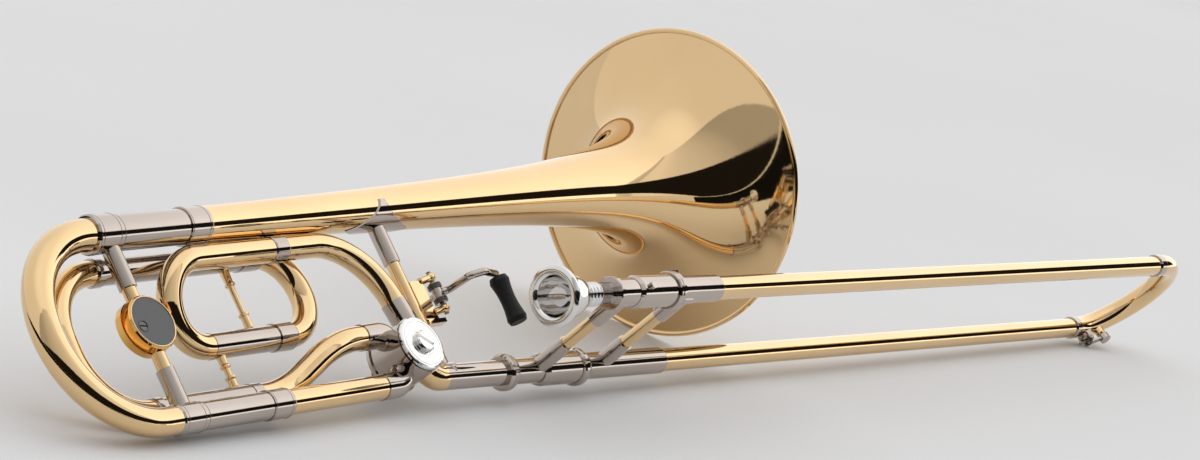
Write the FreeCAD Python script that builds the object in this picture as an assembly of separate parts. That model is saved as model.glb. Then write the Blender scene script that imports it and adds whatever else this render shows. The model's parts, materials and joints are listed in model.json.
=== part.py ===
import FreeCAD, Part
import math
import os

# Tenor trombone with a rotary valve and F wrap, resting on a flat surface.
# Everything is modelled in the bell frame first: x runs forward along the bell,
# z goes from the valve up to the bell tube, y goes to the wrap's far side.
# The hand slide has its own frame, tipped down from the bell and rolled a little.
# All lengths are in millimetres and all angles in degrees.

V = FreeCAD.Vector
X_AXIS = V(1, 0, 0)
Y_AXIS = V(0, 1, 0)
Z_AXIS = V(0, 0, 1)

# Resting attitude of the whole instrument
LEAN = 47.71
NOSE_UP = 1.67

# Bell
BELL_Z = 119.0
RIM_X = 340.0
RIM_R = 110.0
FLARE_DEPTH = 10.4
FLARE_POWER = 0.583
BELL_TAIL_X = -162.0
BELL_WALL = 0.7
RIM_BEAD_R = 1.9
RIM_WIRE_R = 1.1
RIM_FACE_X = RIM_X - RIM_BEAD_R
RIM_RING_R = RIM_R - RIM_BEAD_R

# Main tuning slide
BOW_X = -246.5
SLEEVE_REAR_X = -227.0
SLEEVE_FRONT_X = -169.5
FERRULE_FRONT_X = -151.0
UPPER_SETBACK = 3.5
BOW_LEAD = 6.5
FEED_END_X = -63.0
BOW_R_UPPER = 10.0
BOW_R_LOWER = 8.3
UPPER_SLEEVE_R = 10.9
UPPER_FERRULE_R = 11.7
LOWER_SLEEVE_R = 8.45
LOWER_FERRULE_R = 9.0
SLEEVE_WALL = 0.8
TUBE_WALL = 0.6
RUN_FIT = 0.05
TUNING_BRACE_X = -236.0
WEIGHT_Z = 58.5
WEIGHT_R = 17.2
WEIGHT_HALF = 7.0
BADGE_R = 15.8
BADGE_THICK = 0.9

# F wrap, behind the bell plane
WRAP_R = 7.7
WRAP_SLEEVE_R = 8.0
WRAP_RING_R = 8.8
WRAP_Y = 17.6
WRAP_TOP_Z = 103.0
WRAP_MID_Z = 48.5
WRAP_LOW_Z = 13.0
WRAP_RUN_Z = 98.2
WRAP_FRONT_X = -172.5
WRAP_RING_X = -116.0
WRAP_REAR_X = -100.5
RUN_RING_X = -106.5
RUN_RING_END_X = -94.5
CROOK_X = -241.5
CROOK_REACH = 42.0
F_SLEEVE_X = -235.0
F_LOWER_END_X = -151.0
POST_A_X = -131.0
POST_B_X = -166.0
SPIGOT = 8.0

# Brass curve from the F slide's lower sleeve to the valve
RETURN_FOOT_X = -126.0
RETURN_HEAD_X = -84.0
RETURN_END_X = -61.0
RETURN_BEND = 62.0
OUTLET_BEND = 52.0

# Rotary valve, its axis along y
VALVE_X = -27.0
VALVE_Z = 18.5
ROTOR_R = 16.4
CASING_R = 18.6
CASING_FRONT_Y = -13.3
CASING_BACK_Y = 14.0
ROTOR_HALF = 9.7
PASSAGE_R = 5.9
KNUCKLE_R = 8.3
KNUCKLE_BEND = 10.0
BORE_R = 6.95
RETURN_Z = 33.6
OUTLET_TILT = 10.0
CAP_R = 17.9
CAP_FACE_Y = -16.4
SPINDLE_R = 4.0
SPINDLE_END_Y = CASING_BACK_Y + 2.6
BEARING_GAP = 0.3
PORT_GAP = 0.25
STOP_ARM_THICK = 3.2

# Bell brace and thumb lever
BRACE_X = 1.0
BRACE_ROD_R = 4.3
BRACE_SOCKET_R = 5.5
HINGE_X = 25.5
HINGE_Y = -4.0
HINGE_Z = 55.0
HINGE_PIN_R = 1.5
LEVER_ROD_R = 2.2
ROLLER_X = 53.0
ROLLER_Y = -31.5
ROLLER_TOP_Z = 48.8
ROLLER_LENGTH = 32.0
ROLLER_END_R = 6.6
ROLLER_WAIST_R = 5.1
DRIVE_ARM = 24.7
DRIVE_Z = HINGE_Z
LEVER_SWING = 40.0
LEVER_ELBOW = (33.5, -6.5)
LEVER_BEND = (30.0, -29.0)
LEVER_REACH = (40.0, -33.0)
LEVER_DROP = 1.5
HUB_LOW_Z = 48.0
HUB_HIGH_Z = 62.0
HUB_R = 3.4
DRIVE_ROD_R = 2.0
DRIVE_STUD_R = 1.8
HINGE_ARM_R = 2.4
HINGE_BALL_R = 3.4
STOP_ARM = 12.0
STOP_PIN_R = 1.5
LEVER_COIL_R = 4.1
LEVER_WIRE_R = 0.55

# Hand slide frame
SLIDE_DROOP = 3.15
SLIDE_ROLL = -4.6
SLIDE_SPACING = 91.7
GOOSENECK_R = 8.3
NUT_X = 54.5
NUT_LENGTH = 8.0
NUT_R = 11.8
THREAD_R = 9.45
BARREL_X = 92.0
BARREL_END_X = 138.0
BARREL_R = 10.7
END_RING_R = 12.5
END_RING_X = 129.5
INNER_BRACE_X = 89.5
OUTER_BRACE_X = 157.5
LOCK_SEAT_R = 10.0
LEADPIPE_LENGTH = 200.0
OUTER_START_X = 138.4
OUTER_FERRULE_LONG_X = 226.0
OUTER_FERRULE_SHORT_X = 183.5
OUTER_FERRULE_R = 8.9
OUTER_R = 7.75
OUTER_BORE_R = 7.35
INNER_R = 7.15
STOCKING_R = 7.30
INNER_BORE_R = 6.95
TUBE_END_X = 799.5
BOW_FERRULE_X = 808.0
END_BOW_X = 811.5
BOW_FERRULE_R = 9.0
END_BOW_R = 8.5
END_BOW_WALL = 0.7
RECEIVER_X = 69.0
RECEIVER_R = 9.0

# Mouthpiece
RIM_BACK_X = 10.8
MOUTHPIECE_LENGTH = 81.0
CUP_R = 12.9
MOUTH_RIM_R = 19.4
SHANK_R = 7.0

# Water key
KEY_TURN = 26.0
KEY_TILT = 14.0
KEY_PIN_X = -14.0
KEY_PIN_Z = 13.6
KEY_PIN_R = 0.9
KEY_POST_Y = 5.4
KEY_POST_THICK = 1.8
KEY_SADDLE_Z = 5.6
KEY_TAIL = 8.0
DRAIN_R = 2.0
NIPPLE_TOP_Z = 13.5
CORK_R = 4.0
CORK_THICK = 2.6


def polar(angle, radius):
    """Point at an angle in the x-z plane, measured from the valve's axis."""
    turn = math.radians(angle)
    return V(VALVE_X + radius * math.cos(turn), 0, VALVE_Z + radius * math.sin(turn))


def cylinder(start, end, radius):
    along = end - start
    return Part.makeCylinder(radius, along.Length, start, along)


def tube(start, end, outer, inner):
    return cylinder(start, end, outer).cut(cylinder(start, end, inner))


def x_tube(x0, x1, y, z, outer, inner):
    return tube(V(x0, y, z), V(x1, y, z), outer, inner)


def turned(points, base, along):
    """Solid of revolution from (distance, radius) pairs along an axis."""
    corners = [V(r, 0, d) for d, r in points]
    face = Part.Face(Part.makePolygon(corners + [corners[0]]))
    solid = face.revolve(V(0, 0, 0), Z_AXIS, 360)
    solid.Placement = FreeCAD.Placement(base, FreeCAD.Rotation(Z_AXIS, along))
    return solid


def bent_path(points, bend):
    """Wire through the corner points with every corner rounded to the bend radius."""
    edges = []
    start = points[0]
    for corner, after in zip(points[1:-1], points[2:]):
        back = (start - corner).normalize()
        ahead = (after - corner).normalize()
        half = back.getAngle(ahead) / 2
        reach = bend / math.tan(half)
        first = corner + back * reach
        last = corner + ahead * reach
        centre_line = (back + ahead).normalize()
        middle = corner + centre_line * (bend / math.sin(half) - bend)
        if (first - start).Length > 0.01:
            edges.append(Part.makeLine(start, first))
        edges.append(Part.Arc(first, middle, last).toShape())
        start = last
    if (points[-1] - start).Length > 0.01:
        edges.append(Part.makeLine(start, points[-1]))
    return Part.Wire(edges)


def swept(path, radius, end_radius=None):
    """Round bar along a path, tapering evenly when an end radius is given."""
    first = path.Edges[0]
    start = first.valueAt(first.FirstParameter)
    circle = Part.Wire(Part.makeCircle(radius, start, first.tangentAt(first.FirstParameter)))
    shell = Part.BRepOffsetAPI.MakePipeShell(path)
    shell.add(circle)
    if end_radius is not None:
        last = path.Edges[-1]
        finish = last.valueAt(last.LastParameter)
        direction = last.tangentAt(last.LastParameter)
        shell.add(Part.Wire(Part.makeCircle(end_radius, finish, direction)))
    shell.build()
    shell.makeSolid()
    return shell.shape()


def bent_tube(points, bend, outer, inner):
    path = bent_path(points, bend)
    return swept(path, outer).cut(swept(path, inner))


def u_bend(start, end, forward, lead):
    """Corner points of a half circle joining two parallel legs."""
    spread = (end - start).Length / 2
    tip = forward * (lead + spread)
    return [start, start + tip, end + tip, end]


def group(solids):
    return Part.makeCompound(solids)


def bell_radius(x):
    """Outer radius of the flare at a station along the bell."""
    behind = RIM_FACE_X - x
    return RIM_RING_R * (FLARE_DEPTH / (FLARE_DEPTH + behind)) ** FLARE_POWER


def flare_curve(offset, x0, x1):
    """Smooth profile of the bell, offset outward, with stations crowding to the rim."""
    stations = 18
    points = []
    for step in range(stations + 1):
        share = step / stations
        x = x0 + (x1 - x0) * (1 - (1 - share) ** 2.6)
        points.append(V(x, 0, bell_radius(x) + offset))
    curve = Part.BSplineCurve()
    curve.interpolate(points)
    return curve.toShape()


def revolved_band(outer, inner):
    """Revolve the strip between two profile curves about the bell's axis."""
    ends = []
    for index in (0, 1):
        ends.append(Part.makeLine(outer.Vertexes[index].Point, inner.Vertexes[index].Point))
    face = Part.Face(Part.Wire(Part.__sortEdges__([outer, inner] + ends)))
    solid = face.revolve(V(0, 0, 0), X_AXIS, 360)
    solid.translate(V(0, 0, BELL_Z))
    return solid


def make_bell():
    outer = flare_curve(0, BELL_TAIL_X, RIM_FACE_X)
    inner = flare_curve(-BELL_WALL, BELL_TAIL_X, RIM_FACE_X)
    skin = revolved_band(outer, inner)
    bead_centre = V(RIM_FACE_X, 0, BELL_Z)
    bead = Part.makeTorus(RIM_RING_R, RIM_BEAD_R, bead_centre, X_AXIS)
    channel = Part.makeTorus(RIM_RING_R, RIM_WIRE_R + 0.02, bead_centre, X_AXIS)
    wire = Part.makeTorus(RIM_RING_R, RIM_WIRE_R, bead_centre, X_AXIS)
    return skin.fuse(bead).cut(channel), wire


def make_sleeves():
    """Fixed outer sleeves that the main tuning slide's legs slide in, and their ferrules."""
    sleeves = []
    ferrules = []
    upper_step = bell_radius(FERRULE_FRONT_X - UPPER_SETBACK)
    for z, setback, sleeve_r, ring_r, tube_r, step_r in (
        (BELL_Z, UPPER_SETBACK, UPPER_SLEEVE_R, UPPER_FERRULE_R, bell_radius(BELL_TAIL_X), upper_step),
        (0, 0, LOWER_SLEEVE_R, LOWER_FERRULE_R, WRAP_R, WRAP_R),
    ):
        bore = sleeve_r - SLEEVE_WALL
        front = SLEEVE_FRONT_X - setback
        length = FERRULE_FRONT_X - SLEEVE_FRONT_X
        sleeves.append(x_tube(SLEEVE_REAR_X - setback, front, 0, z, sleeve_r, bore))
        ferrules.append(turned(
            [
                (0, bore),
                (0, ring_r),
                (length - 1, ring_r),
                (length, ring_r - 0.5),
                (length, step_r + 0.02),
                (length - 9, tube_r + 0.02),
                (length - 9, bore),
            ],
            V(front, 0, z),
            X_AXIS,
        ))
    return group(sleeves), group(ferrules)


def slide_point(x, y, z):
    """Point of the hand slide's frame, given in the bell frame."""
    return SLIDE_FRAME.multVec(V(x, y, z))


def make_slide_frame():
    droop = FreeCAD.Rotation(Y_AXIS, SLIDE_DROOP)
    roll = FreeCAD.Rotation(X_AXIS, SLIDE_ROLL)
    return FreeCAD.Placement(V(0, 0, 0), droop.multiply(roll))


SLIDE_FRAME = make_slide_frame()


def in_slide(shape):
    """Move a shape built in the hand slide's frame into the bell frame."""
    moved = shape.copy()
    moved.Placement = SLIDE_FRAME.multiply(moved.Placement)
    return moved


def valve_corners():
    """Corner points where each knuckle turns from the valve to its tube."""
    feed = V(VALVE_X - VALVE_Z, 0, 0)
    back = V(VALVE_X - (RETURN_Z - VALVE_Z), 0, RETURN_Z)
    rise = math.tan(math.radians(OUTLET_TILT))
    outlet = polar(45, 21.5)
    outlet_top = V(outlet.x - rise * (WRAP_RUN_Z - outlet.z), 0, WRAP_RUN_Z)
    slope = math.tan(math.radians(SLIDE_DROOP))
    drop = (VALVE_Z + slope * VALVE_X) / (1 - slope)
    neck = V(VALVE_X + drop, 0, VALVE_Z - drop)
    return feed, back, outlet, outlet_top, neck


def make_valve_tubes():
    """Knuckles, gooseneck elbow and the two brass tubes that meet the valve."""
    feed, back, outlet, outlet_top, neck = valve_corners()
    down = (outlet - outlet_top).normalize()
    ferrule_top = outlet - down * 21
    return_end = V(RETURN_END_X, 0, RETURN_Z)
    neck_end = slide_point(-4, 0, 0)
    routes = {
        "feed": ([polar(225, ROTOR_R + PORT_GAP), feed, V(FEED_END_X, 0, 0)], 13.0),
        "back": ([polar(135, ROTOR_R + PORT_GAP), back, return_end], KNUCKLE_BEND),
        "outlet": ([polar(45, ROTOR_R + PORT_GAP), outlet, ferrule_top], 9.0),
        "neck": ([polar(315, ROTOR_R + PORT_GAP), neck, neck_end], KNUCKLE_BEND),
    }
    solids = {}
    for name, (points, bend) in routes.items():
        solids[name] = swept(bent_path(points, bend), KNUCKLE_R)
    knuckles = []
    for name in ("feed", "back", "outlet", "neck"):
        points, bend = routes[name]
        knuckles.append(solids[name].cut(swept(bent_path(points, bend), BORE_R)))
    feed_tube = x_tube(FERRULE_FRONT_X - 9, FEED_END_X, 0, 0, WRAP_R, WRAP_R - TUBE_WALL)
    run = [ferrule_top, outlet_top, V(RUN_RING_END_X - SPIGOT, 0, WRAP_RUN_Z)]
    outlet_tube = bent_tube(run, OUTLET_BEND, WRAP_R, WRAP_R - TUBE_WALL)
    return solids, knuckles, feed_tube, outlet_tube


def on_valve(y):
    """Point on the valve's axis."""
    return V(VALVE_X, y, VALVE_Z)


def make_casing(knuckle_solids):
    """Valve body with an integral rear bearing and a bored wall for each knuckle."""
    back = on_valve(CASING_BACK_Y)
    wall = tube(on_valve(CASING_FRONT_Y), back, CASING_R, ROTOR_R + RUN_FIT)
    web = tube(on_valve(ROTOR_HALF + BEARING_GAP), back, CASING_R, SPINDLE_R + RUN_FIT)
    rim = tube(on_valve(CASING_BACK_Y - 2.4), back, CASING_R + 1.2, CASING_R - 1)
    body = wall.fuse(web).fuse(rim)
    for knuckle in knuckle_solids.values():
        body = body.cut(knuckle)
    return body


def make_front_plate():
    """Bearing plate pressed into the casing under the cap."""
    front = on_valve(CASING_FRONT_Y + 1.3)
    back = on_valve(-ROTOR_HALF - BEARING_GAP)
    return tube(front, back, ROTOR_R + RUN_FIT, SPINDLE_R + RUN_FIT)


def make_rotor():
    """Rotor with two curved passages and its spindles."""
    body = cylinder(on_valve(-ROTOR_HALF), on_valve(ROTOR_HALF), ROTOR_R)
    for facing in (90, 270):
        centre = polar(facing, ROTOR_R * math.sqrt(2) + 0.4)
        body = body.cut(Part.makeTorus(ROTOR_R, PASSAGE_R, centre, Y_AXIS))
    front = cylinder(on_valve(CASING_FRONT_Y + 1.5), on_valve(-ROTOR_HALF), SPINDLE_R)
    rear = cylinder(on_valve(ROTOR_HALF), on_valve(SPINDLE_END_Y), SPINDLE_R)
    return body.fuse(front).fuse(rear)


def make_stop_arm():
    """Arm on the rotor's rear spindle: drive pin on one side, stop lug on the other."""
    back = SPINDLE_END_Y
    front = back + STOP_ARM_THICK
    hub = cylinder(on_valve(back), on_valve(front), 6.5)
    rest = 45
    arm = Part.makeBox(STOP_ARM + 3, front - back, 5.5, V(0, back, -2.75))
    lug = Part.makeBox(13, front - back, 6, V(-13, back, -3))
    bar = arm.fuse(lug)
    bar.rotate(V(0, 0, 0), Y_AXIS, -rest)
    bar.translate(V(VALVE_X, 0, VALVE_Z))
    tip = polar(rest, STOP_ARM)
    pin = cylinder(tip + V(0, front, 0), tip + V(0, front + 9, 0), STOP_PIN_R)
    screw = cylinder(on_valve(front), on_valve(front + 1.6), 4.2)
    slot = Part.makeBox(10, 1.2, 1.2, V(VALVE_X - 5, front + 0.8, VALVE_Z - 0.6))
    return hub.fuse(bar).fuse(pin), screw.cut(slot)


def make_bumpers():
    """Two cork buffers that stop the arm a quarter turn apart."""
    buffers = []
    for angle in (-45 - 90 - 32, -45 + 32):
        spot = polar(angle, 11)
        buffers.append(cylinder(spot + V(0, CASING_BACK_Y, 0), spot + V(0, CASING_BACK_Y + 6, 0), 2.5))
    return group(buffers)


def make_cap():
    """Screwed valve cap with a stepped face and a slotted centre boss."""
    base = V(VALVE_X, CASING_FRONT_Y - 0.3, VALVE_Z)
    thick = base.y - CAP_FACE_Y
    outward = V(0, -1, 0)
    disc = turned(
        [
            (-1.0, ROTOR_R - 1.6),
            (-1.0, ROTOR_R - 0.03),
            (0, ROTOR_R - 0.03),
            (0, CAP_R - 0.4),
            (0.5, CAP_R),
            (thick - 0.9, CAP_R),
            (thick - 0.2, CAP_R - 0.7),
            (thick, CAP_R - 1.5),
            (thick, 7.6),
            (thick - 0.5, 7.2),
            (thick - 0.5, 6.9),
            (thick + 2.6, 6.9),
            (thick + 3.4, 6.1),
            (thick + 3.4, 0),
            (0, 0),
            (0, ROTOR_R - 1.6),
        ],
        base,
        outward,
    )
    slot = Part.makeBox(16, 2.2, 2.4, V(VALVE_X - 8, CAP_FACE_Y - 3.6, VALVE_Z - 1.2))
    slot.rotate(V(VALVE_X, 0, VALVE_Z), Y_AXIS, 38)
    return disc.cut(slot)


def make_gooseneck():
    """Nickel neck tube with the flange that holds the coupling nut."""
    neck = turned(
        [
            (-4, GOOSENECK_R - 1.3),
            (-4, GOOSENECK_R),
            (NUT_X + 2.1, GOOSENECK_R),
            (NUT_X + 2.1, THREAD_R - RUN_FIT),
            (NUT_X + 3.5, THREAD_R - RUN_FIT),
            (NUT_X + 3.5, GOOSENECK_R - 1.3),
        ],
        V(0, 0, 0),
        X_AXIS,
    )
    return in_slide(neck)


def make_nut():
    """Rounded coupling nut that draws the slide's tenon against the neck."""
    profile = [
        (0, GOOSENECK_R + RUN_FIT),
        (0, NUT_R - 1.5),
        (0.8, NUT_R - 0.5),
        (2.2, NUT_R),
        (NUT_LENGTH - 2.2, NUT_R),
        (NUT_LENGTH - 0.8, NUT_R - 0.5),
        (NUT_LENGTH, NUT_R - 1.5),
        (NUT_LENGTH, THREAD_R),
        (1.8, THREAD_R),
        (1.8, GOOSENECK_R + RUN_FIT),
    ]
    return in_slide(turned(profile, V(NUT_X, 0, 0), X_AXIS))


def make_wrap_front():
    """Front loop: run from the valve, left bow, front sleeve and its rings."""
    run_start = V(RUN_RING_END_X - SPIGOT, 0, WRAP_RUN_Z)
    bow_top = V(WRAP_FRONT_X, 0, WRAP_RUN_Z)
    bow_low = V(WRAP_FRONT_X, WRAP_Y, WRAP_MID_Z)
    corners = u_bend(bow_top, bow_low, V(-1, 0, 0), 0)
    reach = (bow_low - bow_top).Length / 2
    left_bow = bent_tube([run_start] + corners[1:3] + [V(WRAP_FRONT_X + 1, WRAP_Y, WRAP_MID_Z)], reach - 0.01,
                         WRAP_R, WRAP_R - TUBE_WALL)
    sleeve = turned(
        [
            (1, WRAP_R - TUBE_WALL),
            (1, WRAP_R),
            (0, WRAP_R),
            (0, WRAP_SLEEVE_R),
            (WRAP_RING_X - WRAP_FRONT_X, WRAP_SLEEVE_R),
            (WRAP_RING_X - WRAP_FRONT_X, WRAP_R - TUBE_WALL),
        ],
        V(WRAP_FRONT_X, WRAP_Y, WRAP_MID_Z),
        X_AXIS,
    )
    ring_low = turned(ring_profile(WRAP_REAR_X - WRAP_RING_X), V(WRAP_RING_X, WRAP_Y, WRAP_MID_Z), X_AXIS)
    run_ring_r = WRAP_RING_R - 0.4
    run_length = RUN_RING_END_X - RUN_RING_X
    ring_run = turned(
        [
            (0, WRAP_R),
            (0, run_ring_r - 0.4),
            (0.8, run_ring_r),
            (run_length - 0.8, run_ring_r),
            (run_length, run_ring_r - 0.4),
            (run_length, WRAP_R),
        ],
        V(RUN_RING_X, 0, WRAP_RUN_Z),
        X_AXIS,
    )
    return left_bow, sleeve, ring_low, ring_run


def ring_profile(length):
    """Ferrule that butts a sleeve on one side and holds a bow's end on the other."""
    return [
        (0, WRAP_R - TUBE_WALL),
        (0, WRAP_RING_R),
        (length - 1, WRAP_RING_R),
        (length, WRAP_RING_R - 0.5),
        (length, WRAP_R),
        (length - SPIGOT, WRAP_R),
        (length - SPIGOT, WRAP_R - TUBE_WALL),
    ]


def make_wrap_rear():
    """Right bow up to the F slide's upper sleeve, and that slide's two sleeves."""
    low = V(WRAP_REAR_X - SPIGOT, WRAP_Y, WRAP_MID_Z)
    top = V(WRAP_REAR_X - SPIGOT, WRAP_Y, WRAP_TOP_Z)
    reach = (WRAP_TOP_Z - WRAP_MID_Z) / 2
    turn_x = WRAP_REAR_X + reach
    corners = [low, V(turn_x, WRAP_Y, WRAP_MID_Z), V(turn_x, WRAP_Y, WRAP_TOP_Z), top]
    right_bow = bent_tube(corners, reach - 0.01, WRAP_R, WRAP_R - TUBE_WALL)
    upper = turned(
        [
            (0, WRAP_SLEEVE_R - SLEEVE_WALL),
            (0, WRAP_SLEEVE_R),
            (WRAP_RING_X - F_SLEEVE_X, WRAP_SLEEVE_R),
            (WRAP_RING_X - F_SLEEVE_X, WRAP_RING_R),
            (WRAP_REAR_X - F_SLEEVE_X, WRAP_RING_R),
            (WRAP_REAR_X - F_SLEEVE_X, WRAP_R),
            (WRAP_REAR_X - SPIGOT - F_SLEEVE_X, WRAP_R),
            (WRAP_REAR_X - SPIGOT - F_SLEEVE_X, WRAP_SLEEVE_R - SLEEVE_WALL),
        ],
        V(F_SLEEVE_X, WRAP_Y, WRAP_TOP_Z),
        X_AXIS,
    )
    span = F_LOWER_END_X - F_SLEEVE_X
    lower = turned(
        [
            (0, WRAP_SLEEVE_R - SLEEVE_WALL),
            (0, WRAP_SLEEVE_R),
            (span - SPIGOT, WRAP_SLEEVE_R),
            (span - SPIGOT, WRAP_SLEEVE_R + 0.4),
            (span, WRAP_SLEEVE_R + 0.4),
            (span, WRAP_R),
            (span - 6, WRAP_R),
            (span - 6, WRAP_SLEEVE_R - SLEEVE_WALL),
        ],
        V(F_SLEEVE_X, WRAP_Y, WRAP_LOW_Z),
        X_AXIS,
    )
    return right_bow, group([upper, lower])


def make_return_curve():
    """Brass curve from the F slide's lower sleeve up to the valve."""
    points = [
        V(F_LOWER_END_X - 5.5, WRAP_Y, WRAP_LOW_Z),
        V(RETURN_FOOT_X, WRAP_Y, WRAP_LOW_Z),
        V(RETURN_HEAD_X, 0, RETURN_Z),
        V(RETURN_END_X, 0, RETURN_Z),
    ]
    return bent_tube(points, RETURN_BEND, WRAP_R, WRAP_R - TUBE_WALL)


def turned_post(x, z0, z1):
    """Turned strut with a collar and a foot at each end, trimmed to the tubes."""
    length = z1 - z0
    end = min(11.0, length * 0.36)
    profile = [
        (0, 0),
        (0, 3.9),
        (1.2, 2.9),
        (end - 2, 2.6),
        (end - 1.2, 3.3),
        (end, 3.3),
        (end + 0.8, 2.0),
        (length - end - 0.8, 2.0),
        (length - end, 3.3),
        (length - end + 1.2, 3.3),
        (length - end + 2, 2.6),
        (length - 1.2, 2.9),
        (length, 3.9),
        (length, 0),
    ]
    return turned(profile, V(x, WRAP_Y, z0), Z_AXIS)


def make_posts():
    """Two struts that tie the wrap's three rear tubes together."""
    dip = 1.3
    upper = turned_post(POST_A_X, WRAP_MID_Z + WRAP_SLEEVE_R - dip, WRAP_TOP_Z - WRAP_SLEEVE_R + dip)
    lower = turned_post(POST_B_X, WRAP_LOW_Z + WRAP_SLEEVE_R - dip, WRAP_MID_Z - WRAP_SLEEVE_R + dip)
    for z in (WRAP_LOW_Z, WRAP_MID_Z, WRAP_TOP_Z):
        rod = cylinder(V(-200, WRAP_Y, z), V(-100, WRAP_Y, z), WRAP_SLEEVE_R)
        upper = upper.cut(rod)
        lower = lower.cut(rod)
    return group([upper, lower])


def saddle(outer_skin, x, y, z, half_length, half_width, height):
    """Diamond flange cut from a thin skin that lies on a tube."""
    corners = [
        V(x - half_length, y, z),
        V(x, y - half_width, z),
        V(x + half_length, y, z),
        V(x, y + half_width, z),
    ]
    prism = Part.Face(Part.makePolygon(corners + [corners[0]])).extrude(V(0, 0, height))
    return outer_skin.common(prism)


def make_bell_brace(elbow):
    """Brace between the bell and the neck: two flanges, two sockets and a rod."""
    outside = flare_curve(0.8, BRACE_X - 40, BRACE_X + 40)
    inside = flare_curve(0.02, BRACE_X - 40, BRACE_X + 40)
    skin = revolved_band(outside, inside)
    top_flange = saddle(skin, BRACE_X, 0, BELL_Z - 22, 30, 16, 22)
    neck_skin = in_slide(x_tube(-16, 30, 0, 0, GOOSENECK_R + 0.8, GOOSENECK_R + 0.01))
    low_flange = saddle(neck_skin, BRACE_X + 2, 0, 0, 15, 9, 14).cut(elbow)
    bell_r = bell_radius(BRACE_X)
    top = BELL_Z - bell_r
    low = GOOSENECK_R
    rod_low = low + 22
    rod_top = top - 25
    upper = cylinder(V(BRACE_X, 0, rod_top), V(BRACE_X, 0, top), BRACE_SOCKET_R)
    lower = cylinder(V(BRACE_X, 0, low - 2), V(BRACE_X, 0, rod_low), BRACE_SOCKET_R)
    bell_core = revolved_band(flare_curve(0.82, BRACE_X - 20, BRACE_X + 20),
                              flare_curve(-8.0, BRACE_X - 20, BRACE_X + 20))
    neck_core = in_slide(cylinder(V(-20, 0, 0), V(30, 0, 0), GOOSENECK_R + 0.82))
    upper = upper.cut(bell_core)
    lower = lower.cut(neck_core).cut(elbow)
    hole = cylinder(V(BRACE_X, 0, rod_low - 8), V(BRACE_X, 0, rod_top + 8), BRACE_ROD_R)
    rod = cylinder(V(BRACE_X, 0, rod_low - 8), V(BRACE_X, 0, rod_top + 8), BRACE_ROD_R)
    return group([top_flange, low_flange]), group([upper.cut(hole), lower.cut(hole)]), rod


def make_lever_bracket():
    """Bracket on the brace rod with two hinge arms and a stop foot."""
    block = Part.makeBox(12, 8, 27, V(BRACE_X + BRACE_ROD_R - 1.5, -4, 38))
    block = block.cut(cylinder(V(BRACE_X, 0, 30), V(BRACE_X, 0, 70), BRACE_ROD_R))
    foot = Part.makeBox(17, 6, 3, V(BRACE_X + BRACE_ROD_R, -4, 35))
    body = block.fuse(foot)
    hinge_top = V(HINGE_X, HINGE_Y, 66)
    hinge_low = V(HINGE_X, HINGE_Y, 44)
    for hinge in (hinge_top, hinge_low):
        arm = cylinder(V(BRACE_X + 14, HINGE_Y + 1, hinge.z - 1.5), hinge, HINGE_ARM_R)
        body = body.fuse(arm).fuse(Part.makeSphere(HINGE_BALL_R, hinge))
    pin_hole = cylinder(V(HINGE_X, HINGE_Y, 40), V(HINGE_X, HINGE_Y, 70), HINGE_PIN_R)
    pin = cylinder(V(HINGE_X, HINGE_Y, 40.2), V(HINGE_X, HINGE_Y, 69.8), HINGE_PIN_R)
    return body.cut(pin_hole), pin


def lever_turn(point, angle):
    """Turn a point about the lever's hinge line."""
    return FreeCAD.Rotation(Z_AXIS, angle).multVec(point - V(HINGE_X, HINGE_Y, 0)) + V(HINGE_X, HINGE_Y, 0)


def drive_tip():
    return lever_turn(V(HINGE_X, HINGE_Y + DRIVE_ARM, DRIVE_Z), -LEVER_SWING / 2)


def make_lever():
    """Lever: hub on the hinge pin, bent arm, roller axle and drive arm."""
    low = V(HINGE_X, HINGE_Y, HUB_LOW_Z)
    high = V(HINGE_X, HINGE_Y, HUB_HIGH_Z)
    arm_path = [
        V(HINGE_X, HINGE_Y, HINGE_Z),
        V(*LEVER_ELBOW, HINGE_Z),
        V(*LEVER_BEND, HINGE_Z - LEVER_DROP),
        V(*LEVER_REACH, HINGE_Z - LEVER_DROP),
        V(ROLLER_X, ROLLER_Y, ROLLER_TOP_Z + 2.6),
        V(ROLLER_X, ROLLER_Y, ROLLER_TOP_Z - ROLLER_LENGTH + 2),
    ]
    arm = swept(bent_path(arm_path[:5], 4.0), LEVER_ROD_R)
    elbow = Part.makeSphere(LEVER_ROD_R, arm_path[4])
    axle = cylinder(arm_path[4], arm_path[5], LEVER_ROD_R - 0.2)
    tip = drive_tip()
    drive = cylinder(V(HINGE_X, HINGE_Y, DRIVE_Z), tip, DRIVE_ROD_R)
    stud = cylinder(tip + V(0, 0, -5.2), tip + V(0, 0, 2.6), DRIVE_STUD_R)
    hub = cylinder(low, high, HUB_R)
    body = hub.fuse(arm).fuse(elbow).fuse(axle).fuse(drive).fuse(stud)
    bore = cylinder(low - V(0, 0, 10), high + V(0, 0, 10), HINGE_PIN_R + RUN_FIT)
    return body.cut(bore)


def make_lever_spring():
    """Torsion springs, one coil at each end of the lever's hub."""
    solids = []
    for lowest in (HUB_LOW_Z + 0.5, HUB_HIGH_Z - 3.7):
        for turn in range(3):
            centre = V(HINGE_X, HINGE_Y, lowest + 2.1 * LEVER_WIRE_R * turn)
            solids.append(Part.makeTorus(LEVER_COIL_R, LEVER_WIRE_R, centre, Z_AXIS))
    return group(solids)


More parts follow.
